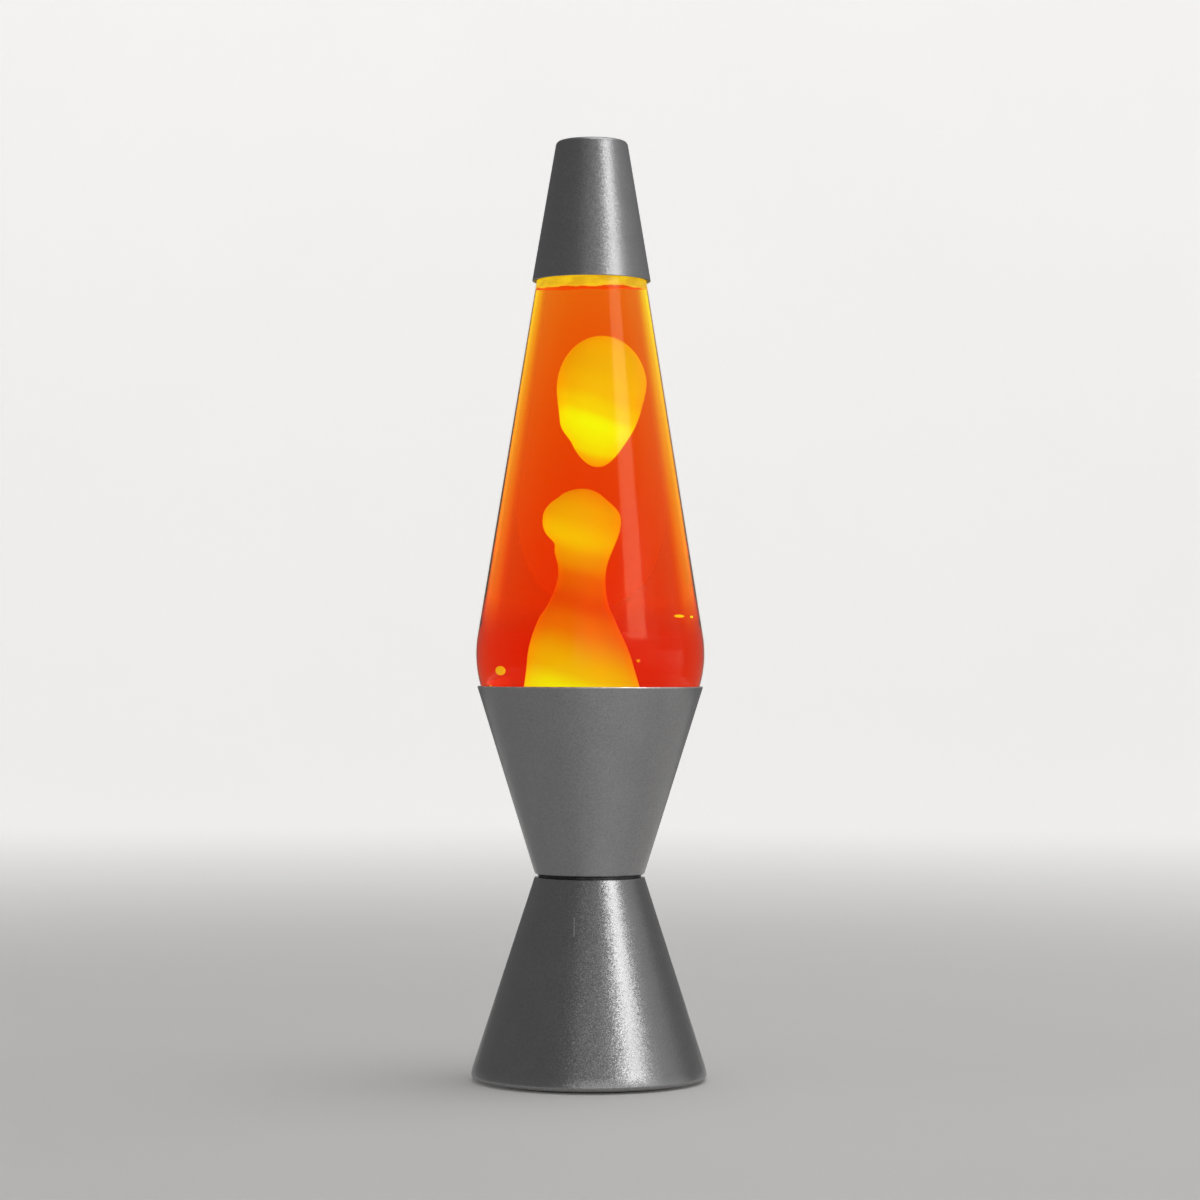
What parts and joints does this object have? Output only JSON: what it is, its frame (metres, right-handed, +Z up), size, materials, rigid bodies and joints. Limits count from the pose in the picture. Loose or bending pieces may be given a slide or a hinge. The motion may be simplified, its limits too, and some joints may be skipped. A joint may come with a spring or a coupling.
{
  "type": "lava lamp",
  "caption": "Wax-motion table lamp with an hourglass metal base, a tapered glass globe of tinted liquid and wax, and a lift-off cone cap.",
  "frame": {"origin": "centre of the foot ring's underside, on the table, on the lamp's upright axis", "axes": "+Z up along the lamp, -Y towards the front, +Y to the back where the cord inlet is, +X to the right seen from the front"},
  "size_m": [0.1036, 0.1036, 0.414],
  "materials": {
    "silver_lacquer": "satin",
    "black_plastic": "matte",
    "black_rubber": "matte",
    "zinc_steel": "satin",
    "porcelain": "gloss",
    "brass": "satin",
    "nickel_shell": "satin",
    "black_glass": "gloss",
    "bulb_glass": "gloss",
    "stem_glass": "gloss",
    "tungsten": "satin",
    "globe_glass": "gloss",
    "tinted_liquid": "gloss",
    "wax": "satin",
    "coil_wire": "satin",
    "tin_plate": "satin",
    "liner_plastic": "matte"
  },
  "bodies": {
    "base": {"base_cone": "silver_lacquer", "bowl_cone": "silver_lacquer", "bottom_cover": "black_plastic", "foot_ring": "black_rubber", "cord_grommet": "black_rubber", "central_rod": "zinc_steel", "lower_washer": "zinc_steel", "lower_nut": "zinc_steel", "bracket_nut": "zinc_steel", "socket_bracket": "zinc_steel", "waist_screws": "zinc_steel", "waist_nuts": "zinc_steel", "lampholder_body": "porcelain", "lampholder_shell": "brass", "lampholder_contact": "brass", "lampholder_terminals": "brass"},
    "globe": {"globe_glass": "globe_glass", "liquid": "tinted_liquid", "wax_column": "wax", "wax_droplets": "wax", "wax_coil": "coil_wire", "crown_closure": "tin_plate", "crown_liner": "liner_plastic"},
    "blob": {"wax_blob": "wax"},
    "cap": {"cap": "silver_lacquer"},
    "bulb_tip": {"bulb_contact": "black_glass"},
    "bulb": {"bulb_screw_shell": "nickel_shell", "bulb_glass": "bulb_glass", "bulb_stem": "stem_glass", "filament": "tungsten"}
  },
  "joints": [
    {"name": "globe_lift", "type": "slide", "parent": "base", "child": "globe", "axis": [0, 0, 1], "range_m": [0, 0.06]},
    {"name": "cap_lift", "type": "slide", "parent": "globe", "child": "cap", "axis": [0, 0, 1], "range_m": [0, 0.065]},
    {"name": "wax_rise", "type": "slide", "parent": "globe", "child": "blob", "axis": [0, 0, 1], "range_m": [0, 0.018], "deforming": ["liquid"]},
    {"name": "bulb_rise", "type": "slide", "parent": "base", "child": "bulb_tip", "axis": [0, 0, 1], "range_m": [0, 0.0113]},
    {"name": "bulb_turn", "type": "hinge", "parent": "bulb_tip", "child": "bulb", "pos_m": [0, 0, 0.062], "axis": [0, 0, 1], "range_deg": [0, 1440]}
  ],
  "couplings": [
    {"joint": "bulb_rise", "follows": "bulb_turn", "m_per_rad": 0.00044914}
  ]
}
